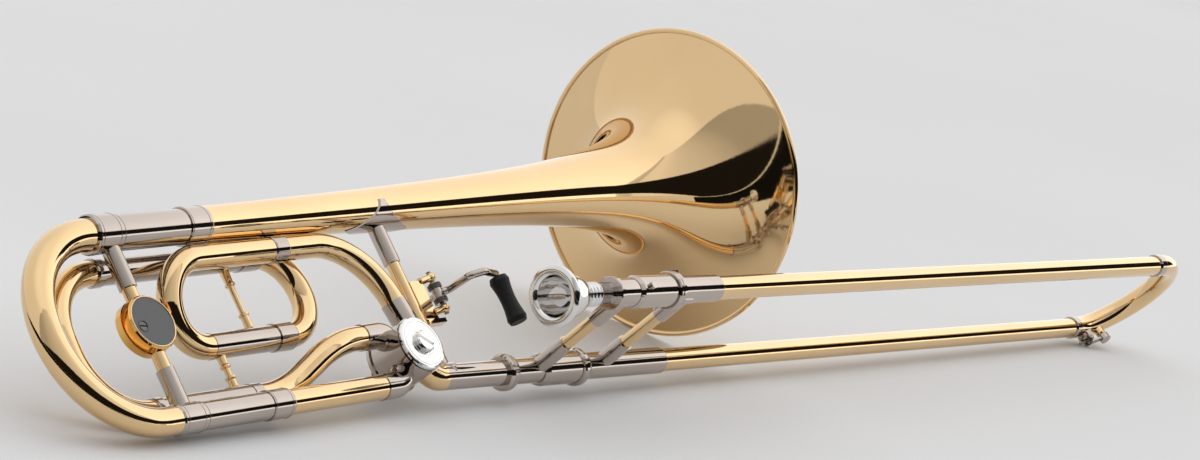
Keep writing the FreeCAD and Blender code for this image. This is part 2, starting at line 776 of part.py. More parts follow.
def make_roller():
    """Waisted rubber roller on the lever's axle."""
    half = ROLLER_LENGTH / 2
    waist = Part.Arc(
        V(ROLLER_END_R, 0, -half + 3),
        V(ROLLER_WAIST_R, 0, 0),
        V(ROLLER_END_R, 0, half - 3),
    ).toShape()
    bore = LEVER_ROD_R - 0.2 + RUN_FIT
    lower = [V(ROLLER_END_R, 0, -half + 3), V(ROLLER_END_R - 1, 0, -half), V(0, 0, -half)]
    upper = [V(0, 0, half), V(ROLLER_END_R - 1, 0, half), V(ROLLER_END_R, 0, half - 3)]
    edges = [waist]
    for chain in (lower, upper):
        for start, end in zip(chain, chain[1:]):
            edges.append(Part.makeLine(start, end))
    edges.append(Part.makeLine(lower[-1], upper[0]))
    face = Part.Face(Part.Wire(Part.__sortEdges__(edges)))
    solid = face.revolve(V(0, 0, 0), Z_AXIS, 360)
    hole = Part.makeCylinder(bore, ROLLER_LENGTH - 2 + 0.4, V(0, 0, -half + 1.6), Z_AXIS)
    solid = solid.cut(hole)
    solid.translate(V(ROLLER_X, ROLLER_Y, ROLLER_TOP_Z - half))
    return solid


def make_link():
    """Push rod from the lever to the stop arm; its slotted eye is the open pivot."""
    tip = drive_tip()
    near = tip + V(0, 0, -3.6)
    pin = polar(45, STOP_ARM)
    mean_rise = STOP_ARM * (1 + math.cos(math.radians(45))) / 2
    far = V(pin.x, SPINDLE_END_Y + STOP_ARM_THICK + 4.2, VALVE_Z + mean_rise)
    eye = Part.makeCylinder(3.6, 3.0, near + V(0, 0, -1.5), Z_AXIS)
    eye_hole = Part.makeCylinder(DRIVE_STUD_R + RUN_FIT, 6, near + V(0, 0, -3), Z_AXIS)
    plate = Part.makeCylinder(5.4, 3.0, far + V(0, -1.5, 0), Y_AXIS)
    plate = plate.common(Part.makeBox(8.4, 8, 14, far + V(-4.2, -4, -7)))
    slot_half = STOP_PIN_R + 0.65
    travel = STOP_ARM * (1 - math.cos(math.radians(45))) / 2
    slot = Part.makeBox(2 * slot_half, 8, 2 * travel, far + V(-slot_half, -4, -travel))
    for side in (-1, 1):
        slot = slot.fuse(Part.makeCylinder(slot_half, 8, far + V(0, -4, side * travel), Y_AXIS))
    run = far - near
    run.normalize()
    rod = cylinder(near + run * 3.0, far - run * 4.0, 1.3)
    return eye.fuse(rod).fuse(plate).cut(eye_hole).cut(slot)


def make_tuning_slide():
    """Main tuning slide: tapered bow, ferrules and the two legs inside the sleeves."""
    spread = BELL_Z / 2
    tip_x = BOW_X - BOW_LEAD - spread
    corners = [
        V(BOW_X + 6, 0, 0),
        V(tip_x, 0, 0),
        V(tip_x, 0, BELL_Z),
        V(BOW_X + 6 - UPPER_SETBACK, 0, BELL_Z),
    ]
    path = bent_path(corners, spread - 0.01)
    solid_bow = swept(path, BOW_R_LOWER, BOW_R_UPPER)
    bow = solid_bow.cut(swept(path, BOW_R_LOWER - TUBE_WALL, BOW_R_UPPER - TUBE_WALL))
    ferrules = []
    legs = []
    length = SLEEVE_REAR_X - 0.3 - BOW_X
    for z, setback, ring, bow_r, sleeve in (
        (0, 0, LOWER_FERRULE_R, BOW_R_LOWER, LOWER_SLEEVE_R),
        (BELL_Z, UPPER_SETBACK, UPPER_FERRULE_R, BOW_R_UPPER, UPPER_SLEEVE_R),
    ):
        leg_r = sleeve - SLEEVE_WALL - RUN_FIT
        rear = BOW_X - setback
        ferrules.append(turned(
            [
                (0, bow_r - 0.3),
                (0, ring - 0.6),
                (1, ring),
                (length, ring),
                (length, leg_r),
                (6.2, leg_r),
                (6.2, bow_r - 0.3),
            ],
            V(rear, 0, z),
            X_AXIS,
        ).cut(solid_bow))
        legs.append(x_tube(rear + 6.3, SLEEVE_FRONT_X - setback - 2, 0, z, leg_r, leg_r - 0.6))
    return bow, group(ferrules), group(legs)


def make_tuning_brace():
    """Brace across the tuning slide with its sockets, weight, badge and screw."""
    x = TUNING_BRACE_X
    low = LOWER_FERRULE_R
    top = BELL_Z - UPPER_FERRULE_R
    rod_low = low + 22
    rod_top = top - 24
    hole = cylinder(V(x, 0, rod_low - 7), V(x, 0, rod_top + 7), BRACE_ROD_R)
    lower = cylinder(V(x, 0, low - 1.5), V(x, 0, rod_low), BRACE_SOCKET_R)
    upper = cylinder(V(x, 0, rod_top), V(x, 0, top + 1.5), BRACE_SOCKET_R)
    lower = lower.cut(cylinder(V(x - 20, 0, 0), V(x + 20, 0, 0), LOWER_FERRULE_R)).cut(hole)
    upper = upper.cut(cylinder(V(x - 20, 0, BELL_Z), V(x + 20, 0, BELL_Z), UPPER_FERRULE_R)).cut(hole)
    rod = cylinder(V(x, 0, rod_low - 7), V(x, 0, rod_top + 7), BRACE_ROD_R)
    groove = 1.1
    face = V(x, -WEIGHT_HALF, WEIGHT_Z)
    weight = turned(
        [
            (0, 0),
            (0, WEIGHT_R - 1.0),
            (1, WEIGHT_R),
            (WEIGHT_HALF - groove, WEIGHT_R + 0.4),
            (WEIGHT_HALF - groove, WEIGHT_R - 0.9),
            (WEIGHT_HALF, WEIGHT_R - 0.9),
            (WEIGHT_HALF, WEIGHT_R + 0.6),
            (2 * WEIGHT_HALF - 2, WEIGHT_R + 0.4),
            (2 * WEIGHT_HALF, WEIGHT_R - 1.6),
            (2 * WEIGHT_HALF, 0),
        ],
        face,
        Y_AXIS,
    )
    recess = Part.makeCylinder(BADGE_R, BADGE_THICK, face, Y_AXIS)
    screw_spot = face + V(-9, 0, -2)
    screw_hole = Part.makeCylinder(2.9, 12, screw_spot, Y_AXIS)
    weight = weight.cut(recess).cut(screw_hole).cut(hole)
    front_half = weight.common(Part.makeBox(60, WEIGHT_HALF, 60, V(x - 30, -WEIGHT_HALF, WEIGHT_Z - 30)))
    back_half = weight.cut(front_half)
    badge = recess.cut(screw_hole)
    screw = Part.makeCylinder(2.8, 11.8, screw_spot + V(0, 0.1, 0), Y_AXIS)
    slot = Part.makeBox(8, 0.8, 0.9, screw_spot + V(-4, 0.1, -0.45))
    slot.rotate(screw_spot, Y_AXIS, 10)
    return group([lower, upper]), rod, group([front_half, back_half]), badge, screw.cut(slot)


def make_f_slide():
    """F tuning slide: crook, ferrules and legs."""
    low = V(CROOK_X + 4, WRAP_Y, WRAP_LOW_Z)
    top = V(CROOK_X + 4, WRAP_Y, WRAP_TOP_Z)
    tip_x = CROOK_X - CROOK_REACH
    corners = [low, V(tip_x, WRAP_Y, WRAP_LOW_Z), V(tip_x, WRAP_Y, WRAP_TOP_Z), top]
    crook = bent_tube(corners, CROOK_REACH - 0.5, WRAP_R, WRAP_R - TUBE_WALL)
    leg_r = WRAP_SLEEVE_R - SLEEVE_WALL - RUN_FIT
    ferrules = []
    legs = []
    ends = {WRAP_LOW_Z: F_LOWER_END_X - SPIGOT, WRAP_TOP_Z: WRAP_RING_X - SPIGOT}
    for z, leg_end in ends.items():
        ferrules.append(turned(
            [
                (0, WRAP_R + 0.02),
                (0, WRAP_RING_R - 0.5),
                (1, WRAP_RING_R),
                (F_SLEEVE_X - 0.3 - CROOK_X, WRAP_RING_R),
                (F_SLEEVE_X - 0.3 - CROOK_X, leg_r),
                (4.2, leg_r),
                (4.2, WRAP_R + 0.02),
            ],
            V(CROOK_X, WRAP_Y, z),
            X_AXIS,
        ))
        legs.append(x_tube(CROOK_X + 4.3, leg_end, WRAP_Y, z, leg_r, leg_r - 0.6))
    return crook, group(ferrules), group(legs)


def cross_brace(x, g_reach, m_reach, g_socket, m_socket):
    """Brace between the two slide sides: a rod held by a socket at each end."""
    far = -SLIDE_SPACING
    hole_start = V(x, -g_reach - g_socket + 6, 0)
    hole_end = V(x, far + m_reach + m_socket - 6, 0)
    rod = cylinder(hole_start, hole_end, BRACE_ROD_R)
    near_socket = cylinder(V(x, -g_reach + 1.5, 0), V(x, -g_reach - g_socket, 0), BRACE_SOCKET_R)
    far_socket = cylinder(V(x, far + m_reach - 1.5, 0), V(x, far + m_reach + m_socket, 0), BRACE_SOCKET_R)
    near_socket = near_socket.cut(cylinder(V(x - 12, 0, 0), V(x + 12, 0, 0), g_reach)).cut(rod)
    far_socket = far_socket.cut(cylinder(V(x - 12, far, 0), V(x + 12, far, 0), m_reach)).cut(rod)
    return group([in_slide(near_socket), in_slide(far_socket)]), in_slide(rod)


def make_inner_slide():
    """Inner slide: tenon, barrels, stockinged tubes, leadpipe and hand brace."""
    far = -SLIDE_SPACING
    tenon = turned(
        [
            (NUT_X + 3.8, INNER_BORE_R),
            (NUT_X + 3.8, THREAD_R - RUN_FIT),
            (NUT_X + NUT_LENGTH - 0.5, THREAD_R - RUN_FIT),
            (NUT_X + NUT_LENGTH, GOOSENECK_R),
            (BARREL_X, GOOSENECK_R),
            (BARREL_X, INNER_BORE_R),
        ],
        V(0, 0, 0),
        X_AXIS,
    )
    near = turned(
        [
            (BARREL_X, INNER_BORE_R),
            (BARREL_X, GOOSENECK_R + 0.6),
            (BARREL_X + 1, BARREL_R - 0.7),
            (BARREL_X + 3, BARREL_R),
            (END_RING_X, BARREL_R),
            (END_RING_X + 0.4, END_RING_R - 0.7),
            (END_RING_X + 1.6, END_RING_R),
            (END_RING_X + 4.6, END_RING_R),
            (END_RING_X + 6, END_RING_R - 0.8),
            (BARREL_END_X, BARREL_R),
            (BARREL_END_X, OUTER_R + 0.3),
            (BARREL_X + 12, OUTER_R + 0.3),
            (BARREL_X + 12, INNER_R),
            (BARREL_X + 5, INNER_R),
            (BARREL_X + 5, INNER_BORE_R),
        ],
        V(0, 0, 0),
        X_AXIS,
    )
    mouth = turned(
        [
            (RECEIVER_X, 6.96),
            (RECEIVER_X, BARREL_R - 0.5),
            (RECEIVER_X + 0.7, BARREL_R),
            (RECEIVER_X + 3.5, BARREL_R),
            (RECEIVER_X + 4.2, BARREL_R - 0.5),
            (RECEIVER_X + 4.4, RECEIVER_R),
            (BARREL_X - 1, RECEIVER_R),
            (BARREL_X - 1, RECEIVER_R + 0.4),
            (BARREL_X + 0.5, BARREL_R - 0.6),
            (BARREL_X + 2, BARREL_R),
            (END_RING_X, BARREL_R),
            (END_RING_X, LOCK_SEAT_R),
            (BARREL_END_X - 0.8, LOCK_SEAT_R),
            (BARREL_END_X - 0.8, BARREL_R),
            (BARREL_END_X, BARREL_R - 0.3),
            (BARREL_END_X, OUTER_R + 0.3),
            (BARREL_X + 16, OUTER_R + 0.3),
            (BARREL_X + 16, INNER_R),
            (BARREL_X + 6, INNER_R),
            (BARREL_X + 6, 6.6),
            (BARREL_X + 0.3, 6.0),
            (BARREL_X + 0.3, 6.36),
        ],
        V(0, far, 0),
        X_AXIS,
    )
    stud_base = V(101, far, 0)
    stud = cylinder(stud_base + V(0, -9.5, -2), stud_base + V(0, -12.6, -2.6), 2.4)
    body_of_barrel = cylinder(V(80, far, 0), V(130, far, 0), BARREL_R)
    mouth = mouth.fuse(stud.cut(body_of_barrel))
    tubes = []
    for y, start in ((0, BARREL_X + 5), (far, BARREL_X + 6)):
        tubes.append(turned(
            [
                (start, INNER_BORE_R),
                (start, INNER_R),
                (TUBE_END_X - 130, INNER_R),
                (TUBE_END_X - 129, STOCKING_R),
                (TUBE_END_X - 4, STOCKING_R),
                (TUBE_END_X - 4, INNER_BORE_R),
            ],
            V(0, y, 0),
            X_AXIS,
        ))
    leadpipe = turned(
        [
            (BARREL_X + 6.1, 6.5),
            (BARREL_X + 6.1, INNER_BORE_R - 0.01),
            (BARREL_X + LEADPIPE_LENGTH, INNER_BORE_R - 0.01),
            (BARREL_X + LEADPIPE_LENGTH, INNER_BORE_R - 0.3),
            (BARREL_X + 40, 6.2),
        ],
        V(0, far, 0),
        X_AXIS,
    )
    sockets, rod = cross_brace(INNER_BRACE_X, GOOSENECK_R, RECEIVER_R, 24, 23)
    barrels = group([in_slide(near), in_slide(mouth)])
    sockets = group([socket.cut(barrels) for socket in sockets.Solids])
    return in_slide(tenon), barrels, in_slide(group(tubes)), in_slide(leadpipe), sockets, rod


def make_outer_slide():
    """Outer slide: ferrules, tubes, hand brace and the end bow with its ferrules."""
    far = -SLIDE_SPACING
    ferrules = []
    tubes = []
    rings = []
    for y, front in ((0, OUTER_FERRULE_LONG_X), (far, OUTER_FERRULE_SHORT_X)):
        ferrules.append(turned(
            [
                (OUTER_START_X, OUTER_R),
                (OUTER_START_X, OUTER_FERRULE_R + 0.4),
                (OUTER_START_X + 0.5, OUTER_FERRULE_R + 0.8),
                (OUTER_START_X + 2, OUTER_FERRULE_R + 0.8),
                (OUTER_START_X + 2.5, OUTER_FERRULE_R),
                (front - 1, OUTER_FERRULE_R),
                (front, OUTER_FERRULE_R - 0.5),
                (front, OUTER_R),
            ],
            V(0, y, 0),
            X_AXIS,
        ))
        tubes.append(x_tube(OUTER_START_X, TUBE_END_X + 2, y, 0, OUTER_R, OUTER_BORE_R))
        rings.append(turned(
            [
                (TUBE_END_X, OUTER_R),
                (TUBE_END_X, BOW_FERRULE_R - 0.4),
                (TUBE_END_X + 0.6, BOW_FERRULE_R),
                (BOW_FERRULE_X - 1, BOW_FERRULE_R),
                (BOW_FERRULE_X, BOW_FERRULE_R - 0.4),
                (BOW_FERRULE_X, END_BOW_R),
                (TUBE_END_X + 2, END_BOW_R),
                (TUBE_END_X + 2, OUTER_R),
            ],
            V(0, y, 0),
            X_AXIS,
        ))
    spread = SLIDE_SPACING / 2
    corners = [
        V(TUBE_END_X + 2, 0, 0),
        V(END_BOW_X + spread, 0, 0),
        V(END_BOW_X + spread, far, 0),
        V(TUBE_END_X + 2, far, 0),
    ]
    end_bow = bent_tube(corners, spread - 0.01, END_BOW_R, END_BOW_R - END_BOW_WALL)
    sockets, rod = cross_brace(OUTER_BRACE_X, OUTER_FERRULE_R, OUTER_FERRULE_R, 19, 22)
    return (in_slide(group(ferrules)), in_slide(group(tubes)), in_slide(group(rings)), end_bow, sockets, rod)


def make_lock_ring():
    """Turning lock ring on the mouthpiece-side barrel with two hooks over the ferrule."""
    far = -SLIDE_SPACING
    start = END_RING_X + 0.3
    end = BARREL_END_X - 1.1
    bore = LOCK_SEAT_R + RUN_FIT
    ring = turned(
        [
            (start, bore),
            (start, END_RING_R - 0.7),
            (start + 1, END_RING_R),
            (start + 2.4, END_RING_R),
            (start + 3.0, END_RING_R - 0.6),
            (start + 3.6, END_RING_R),
            (end - 1.2, END_RING_R),
            (end, END_RING_R - 1.0),
            (end, bore),
        ],
        V(0, far, 0),
        X_AXIS,
    )
    for angle in (20, 160):
        hook = Part.makeBox(10, 3.4, 1.5, V(end - 2, -1.7, OUTER_FERRULE_R + 2.2))
        hook.rotate(V(0, 0, 0), X_AXIS, angle)
        hook.translate(V(0, far, 0))
        ring = ring.fuse(hook)
    return in_slide(ring)


def key_frame():
    """Frame of the water key: x along the end bow at the drain, z pointing away from it."""
    spread = SLIDE_SPACING / 2
    turn = math.radians(KEY_TURN)
    spot = V(END_BOW_X + spread * math.sin(turn), spread * (math.cos(turn) - 1), 0)
    along = FreeCAD.Rotation(Z_AXIS, -KEY_TURN)
    over = FreeCAD.Rotation(X_AXIS, 180 - KEY_TILT)
    return FreeCAD.Placement(spot, along.multiply(over))


def in_key(shape):
    moved = shape.copy()
    moved.Placement = key_frame().multiply(moved.Placement)
    return in_slide(moved)


def make_water_key(end_bow_core):
    """Water key: nipple and saddle on the bow, pin, sprung lever and its cork."""
    nipple = turned(
        [
            (3, DRAIN_R),
            (3, 4.4),
            (NIPPLE_TOP_Z - 1, 4.0),
            (NIPPLE_TOP_Z, 3.4),
            (NIPPLE_TOP_Z, DRAIN_R),
        ],
        V(0, 0, 0),
        Z_AXIS,
    )
    pivot = V(KEY_PIN_X, 0, KEY_PIN_Z)
    saddle_base = Part.makeBox(7, 12.6, 3.4, V(KEY_PIN_X - 3.5, -6.3, KEY_SADDLE_Z))
    for side in (-1, 1):
        inner_y = side * KEY_POST_Y - KEY_POST_THICK / 2
        post = Part.makeBox(4.4, KEY_POST_THICK, 9.5, V(KEY_PIN_X - 2.2, inner_y, KEY_SADDLE_Z))
        eye = Part.makeCylinder(2.4, KEY_POST_THICK, pivot + V(0, inner_y, 0), Y_AXIS)
        saddle_base = saddle_base.fuse(post).fuse(eye)
    hole = Part.makeCylinder(KEY_PIN_R, 14, pivot - V(0, 7, 0), Y_AXIS)
    pin = Part.makeCylinder(KEY_PIN_R, 13.6, pivot - V(0, 6.8, 0), Y_AXIS)
    seat = in_key(saddle_base.cut(hole)).cut(end_bow_core)
    nipple = in_key(nipple).cut(end_bow_core)
    hub = Part.makeCylinder(2.1, 8.0, pivot - V(0, 4, 0), Y_AXIS)
    cup = Part.makeCylinder(CORK_R + 0.6, 4.6, V(0, 0, NIPPLE_TOP_Z + 1.1), Z_AXIS)
    arm = Part.makeBox(-KEY_PIN_X, 4, 1.8, V(KEY_PIN_X, -2, KEY_PIN_Z + 2))
    thumb_at = V(KEY_PIN_X - KEY_TAIL, 0, KEY_PIN_Z - 1)
    thumb = turned([(0, 0), (0, 2.2), (1, 3.0), (2, 2.2), (2, 0)], thumb_at, Z_AXIS)
    tail = Part.makeBox(KEY_TAIL, 3, 1.6, thumb_at + V(0, -1.5, 0.2))
    web = Part.makeBox(4, 4, 3, V(KEY_PIN_X - 2, -2, KEY_PIN_Z - 0.2))
    cork = Part.makeCylinder(CORK_R, CORK_THICK, V(0, 0, NIPPLE_TOP_Z + 0.3), Z_AXIS)
    bore = Part.makeCylinder(KEY_PIN_R + RUN_FIT, 20, pivot - V(0, 10, 0), Y_AXIS)
    lever = hub.fuse(cup).fuse(arm).fuse(thumb).fuse(tail).fuse(web).cut(bore).cut(cork)
    coils = []
    for side in (-1, 1):
        for turn in range(2):
            centre = pivot + V(0, side * (2.9 + 0.75 * turn), 0)
            coils.append(in_key(Part.makeTorus(2.7, 0.3, centre, Y_AXIS)))
    return group([seat, in_key(pin)]), nipple, in_key(lever), in_key(cork), group(coils)


def make_mouthpiece():
    """Mouthpiece: rounded rim, cup, throat and tapered shank."""
    length = MOUTHPIECE_LENGTH
    profile = [
        (1.6, CUP_R),
        (0.4, CUP_R + 1.4),
        (0, CUP_R + 3.2),
        (0.5, MOUTH_RIM_R - 1.2),
        (1.8, MOUTH_RIM_R),
        (4.2, MOUTH_RIM_R - 0.5),
        (5.4, MOUTH_RIM_R - 2.2),
        (9, 15.8),
        (18, 13.6),
        (25, 10.6),
        (29, 8.6),
        (32.5, SHANK_R + 0.1),
    ]
    for bead in (34.0, 37.5, 41.0):
        profile += [(bead, SHANK_R + 0.1), (bead + 0.7, SHANK_R + 0.8), (bead + 1.4, SHANK_R + 0.1)]
    profile += [
        (RECEIVER_X - RIM_BACK_X - 0.5, SHANK_R - 0.1),
        (length, SHANK_R - 0.7),
        (length, 5.4),
        (44, 3.7),
        (27, 3.4),
        (23, 5.6),
        (16, 10.0),
        (8, 12.2),
    ]
    shape = turned(profile, V(RIM_BACK_X, -SLIDE_SPACING, 0), X_AXIS)
    return in_slide(shape)


def build():
    """Every node in the bell frame, before the instrument is laid down."""
    nodes = {}
    nodes["bell"], nodes["bell_rim_wire"] = make_bell()
    nodes["tuning_sleeves"], nodes["sleeve_ferrules"] = make_sleeves()
    knuckle_solids, knuckles, nodes["valve_feed_tube"], nodes["wrap_outlet_tube"] = make_valve_tubes()
    nodes["valve_knuckles"] = group(knuckles[:3])
    nodes["gooseneck_elbow"] = knuckles[3]
    nodes["valve_casing"] = make_casing(knuckle_solids)
    nodes["valve_front_plate"] = make_front_plate()
    nodes["valve_rotor"] = make_rotor()
    nodes["stop_arm"], nodes["stop_arm_screw"] = make_stop_arm()
    nodes["stop_bumpers"] = make_bumpers()
    nodes["valve_cap"] = make_cap()
    nodes["gooseneck_tube"] = make_gooseneck()
    nodes["coupling_nut"] = make_nut()
    left_bow, front_sleeve, ring_low, ring_run = make_wrap_front()
    nodes["wrap_left_bow"] = left_bow
    nodes["wrap_front_sleeve"] = group([front_sleeve, ring_low, ring_run])
    nodes["wrap_right_bow"], nodes["f_slide_sleeves"] = make_wrap_rear()
    nodes["wrap_return_curve"] = make_return_curve()
    nodes["wrap_posts"] = make_posts()
    flanges, sockets, rod = make_bell_brace(knuckle_solids["neck"])
    nodes["bell_brace_sockets"] = group(flanges.Solids + sockets.Solids)
    nodes["bell_brace_rod"] = rod
    nodes["lever_bracket"], nodes["lever_hinge_pin"] = make_lever_bracket()
    nodes["thumb_lever"] = make_lever()
    nodes["lever_spring"] = make_lever_spring()
    nodes["thumb_roller"] = make_roller()
    nodes["push_rod"] = make_link()
    bow, ferrules, legs = make_tuning_slide()
    nodes["tuning_bow"] = bow
    nodes["tuning_bow_ferrules"] = ferrules
    nodes["tuning_legs"] = legs
    sockets, rod, weight, badge, screw = make_tuning_brace()
    nodes["tuning_brace_sockets"] = sockets
    nodes["tuning_brace_rod"] = rod
    nodes["counterweight"] = weight
    nodes["counterweight_badge"] = badge
    nodes["counterweight_screw"] = screw
    nodes["f_crook"], nodes["f_crook_ferrules"], nodes["f_slide_legs"] = make_f_slide()
    tenon, barrels, tubes, leadpipe, sockets, rod = make_inner_slide()
    nodes["slide_tenon"] = tenon
    nodes["inner_barrels"] = barrels
    nodes["inner_tubes"] = tubes
    nodes["leadpipe"] = leadpipe
    nodes["inner_brace_sockets"] = sockets
    nodes["inner_brace_rod"] = rod
    ferrules, tubes, rings, end_bow, sockets, rod = make_outer_slide()
    nodes["outer_ferrules"] = group(ferrules.Solids + rings.Solids)
    nodes["outer_tubes"] = tubes
    nodes["outer_brace_sockets"] = sockets
    nodes["outer_brace_rod"] = rod
    nodes["slide_lock_ring"] = make_lock_ring()
    nodes["mouthpiece"] = make_mouthpiece()
    add_water_key(nodes, end_bow)
    return nodes


def add_water_key(nodes, end_bow):
    """Water key pieces and the drain hole they close."""
    spread = SLIDE_SPACING / 2
    core_path = bent_path(
        [
            V(TUBE_END_X, 0, 0),
            V(END_BOW_X + spread, 0, 0),
            V(END_BOW_X + spread, -SLIDE_SPACING, 0),
            V(TUBE_END_X, -SLIDE_SPACING, 0),
        ],
        spread - 0.01,
    )
    core = in_slide(swept(core_path, END_BOW_R))
    ring = in_slide(cylinder(V(TUBE_END_X - 6, 0, 0), V(BOW_FERRULE_X + 0.1, 0, 0), BOW_FERRULE_R))
    seat, nipple, lever, cork, springs = make_water_key(core.fuse(ring))
    drain = in_key(Part.makeCylinder(DRAIN_R, 13, V(0, 0, 2), Z_AXIS))
    nodes["end_bow"] = in_slide(end_bow).cut(drain)
    nodes["water_key_seat"] = seat
    nodes["water_key_nipple"] = nipple
    nodes["water_key_lever"] = lever
    nodes["water_key_cork"] = cork
    nodes["water_key_spring"] = springs


def resting_placement(shapes):
    """Lay the instrument on its supports and centre it over the origin."""
    lean = FreeCAD.Rotation(X_AXIS, -LEAN)
    pitch = FreeCAD.Rotation(Y_AXIS, -NOSE_UP)
    turn = FreeCAD.Placement(V(0, 0, 0), pitch.multiply(lean))
    laid = []
    for shape in shapes:
        copy = shape.copy()
        copy.Placement = turn.multiply(copy.Placement)
        laid.append(copy)
    box = Part.makeCompound(laid).optimalBoundingBox(False, False)
    shift = V(-box.Center.x, -box.Center.y, -box.ZMin)
    return FreeCAD.Placement(shift, FreeCAD.Rotation()).multiply(turn)


def main():
    os.makedirs("parts", exist_ok=True)
    nodes = build()
    rest = resting_placement(list(nodes.values()))
    for name, shape in nodes.items():
        shape.Placement = rest.multiply(shape.Placement)
        shape.exportStep("parts/" + name + ".step")


main()
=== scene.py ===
import json
import math

import bmesh
import bpy
from mathutils import Matrix, Vector


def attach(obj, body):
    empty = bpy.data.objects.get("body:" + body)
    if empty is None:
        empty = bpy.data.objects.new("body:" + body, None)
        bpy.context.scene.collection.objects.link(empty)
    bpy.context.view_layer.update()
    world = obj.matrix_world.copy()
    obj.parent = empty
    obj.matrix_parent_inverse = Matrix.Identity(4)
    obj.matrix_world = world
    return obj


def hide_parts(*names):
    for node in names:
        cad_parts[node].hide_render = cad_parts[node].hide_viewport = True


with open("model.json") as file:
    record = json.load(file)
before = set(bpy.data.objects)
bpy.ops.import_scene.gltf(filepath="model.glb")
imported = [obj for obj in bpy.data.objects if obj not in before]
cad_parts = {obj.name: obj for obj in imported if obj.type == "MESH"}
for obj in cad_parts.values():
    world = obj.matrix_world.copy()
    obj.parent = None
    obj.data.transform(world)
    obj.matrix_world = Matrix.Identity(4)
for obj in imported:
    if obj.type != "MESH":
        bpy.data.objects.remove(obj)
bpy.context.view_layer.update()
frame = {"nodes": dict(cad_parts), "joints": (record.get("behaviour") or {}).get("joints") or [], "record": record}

NODES = frame["nodes"]

# Camera in the bell's own frame, in metres
CAMERA_AT = (-1.6064, -1.1925, -0.4430)
CAMERA_AIM = (0.1061, -0.0821, 0.0513)
CAMERA_UP = (0.0626, -0.4849, 0.8723)
LENS = 98.95

# Places in the bell's own frame, in metres
VALVE_X = -0.027
VALVE_Z = 0.0185
BELL_AXIS_Z = 0.119

# Bell, to the CAD's dimensions but for a rim bead a hair slimmer, in metres
BELL_TAIL_X = -0.162
RIM_FACE_X = 0.3381
RIM_RING_R = 0.1081
RIM_BEAD_R = 0.00186
BELL_WALL = 0.0007
FLARE_DEPTH = 0.0104
FLARE_POWER = 0.583
BELL_STATIONS = 150
BELL_CROWDING = 2.4
BEAD_STEPS = 42
BEAD_CLEARANCE = 1.02
BELL_SEGMENTS = 256

# From the mouthpiece's rim forward to the slide lock ring, in metres
RIM_BACK_TO_LOCK = 0.1222

# Mouthpiece outlines from the rim forward, (distance, radius) in millimetres
RIM_OUTLINE = ((1.6, 12.9), (0.5, 14.0), (0.05, 15.9), (0.5, 18.0), (1.9, 19.35), (4.0, 18.9), (5.4, 17.3))
BOWL_OUTLINE = ((5.5, 17.1), (9, 15.8), (18, 13.6), (25, 10.6), (29, 8.6), (32.5, 7.1))
SHANK_OUTLINE = ((57.7, 6.9), (81, 6.3), (81, 5.4), (44, 3.7))
CUP_OUTLINE = ((27, 3.4), (26, 3.8), (23, 5.6), (16, 10.0), (8, 12.2), (2.2, 12.8))
MOUTHPIECE_BEADS = (34.0, 37.5, 41.0)
BEAD_HEIGHT = 0.7
BEAD_ARC_STEPS = 6
SHANK_R = 7.1
MOUTHPIECE_SEGMENTS = 160

# Turned lines, and a dark ring of painted shade round the badge's screw, in the bell's own frame, in millimetres
LINE_R = 0.22
# Height in that frame, setback, ferrule radius and sleeve radius of the two tubes
TUNING_TUBES = ((119.0, 3.5, 11.7, 10.9), (0.0, 0.0, 9.0, 8.45))
CAP_LINE_R = 0.2
FIXED_FERRULE_LINES = (-168.4, -154.0)
SLEEVE_LINE_X = -225.4
BOW_FERRULE_LINES = (-245.4, -243.2, -229.4)
VALVE_CENTRE = (-27, 18.5)
CAP_FACE_Y = -16.4
CAP_BOSS_Y = -17.4
CAP_BOSS_R = 6.9
CAP_FACE_LINES = (8.7, 15.0)
BADGE_CENTRE = (-236, -7.05, 58.5)
BADGE_RIM_R = 15.9
BADGE_RIM_THICK = 0.5
# Badge screw's centre, and a thin dark steel ring round it that paints the shade of the recess round the screw
# head
SCREW_CENTRE = (-245, -6.95, 56.5)
SCREW_SHADE_R = 3.3
SCREW_SHADE_THICK = 0.45
RING_SEGMENTS = 96
RING_SIDES = 8

# Knurl of the coupling nut, in metres
KNURL_COUNT = 80
KNURL_R = 0.01175
KNURL_SIZE = (0.0036, 0.0004, 0.0005)

# Lever arm's corner points in the bell's frame, in millimetres
LEVER_ARM = ((27.5, -4.5, 55.0), (33.5, -6.5, 55.0), (30.0, -29.0, 53.5), (40.0, -33.0, 53.5),
             (53.0, -31.5, 51.4))

# Bend radius and rod radius of that arm, in metres
LEVER_ARM_BEND = 0.004
LEVER_ARM_R = 0.0025

# Studio: bearings are degrees round the vertical, counter-clockwise from +X
FLOOR_R = 40.0
SCREEN_BEARING = -107.0
SCREEN_RIGHT_END = 1.48
SCREEN_TOP = 3.3
SCREEN_EDGE = 0.02
SCREEN_TOP_BLUR = 0.12
DARK_WALLS = ((-102.0, 0.655), (-15.0, 0.466))
DARK_END_BEARING = -14.0
DARK_FOOT = (-12.0, 0.12)
LIGHT_BEARING = -25.0
BACKDROP = 0.86
DARK_FLOOR_FROM = 0.80
DARK_FLOOR_TO = 12.0
DARK_FLOOR_Z = 0.002
DARK_FLOOR_BEARING = -205.0
DARK_FLOOR_SWEEP = 110.0


def joint(name):
    """One joint of the record, by name."""
    return next(j for j in frame["joints"] if j["name"] == name)


def bell_frame():
    """Bell frame to world, rebuilt from the axes and the valve's place in the record."""
    x = -Vector(joint("main_tuning_pull")["axis"])
    y = -Vector(joint("valve_rotor_turn")["axis"])
    z = Vector(joint("thumb_lever_press")["axis"])
    origin = Vector(joint("valve_rotor_turn")["pos_m"]) - x * VALVE_X - z * VALVE_Z
    turn = Matrix((x, y, z)).transposed().to_4x4()
    return Matrix.Translation(origin) @ turn


BELL = bell_frame()


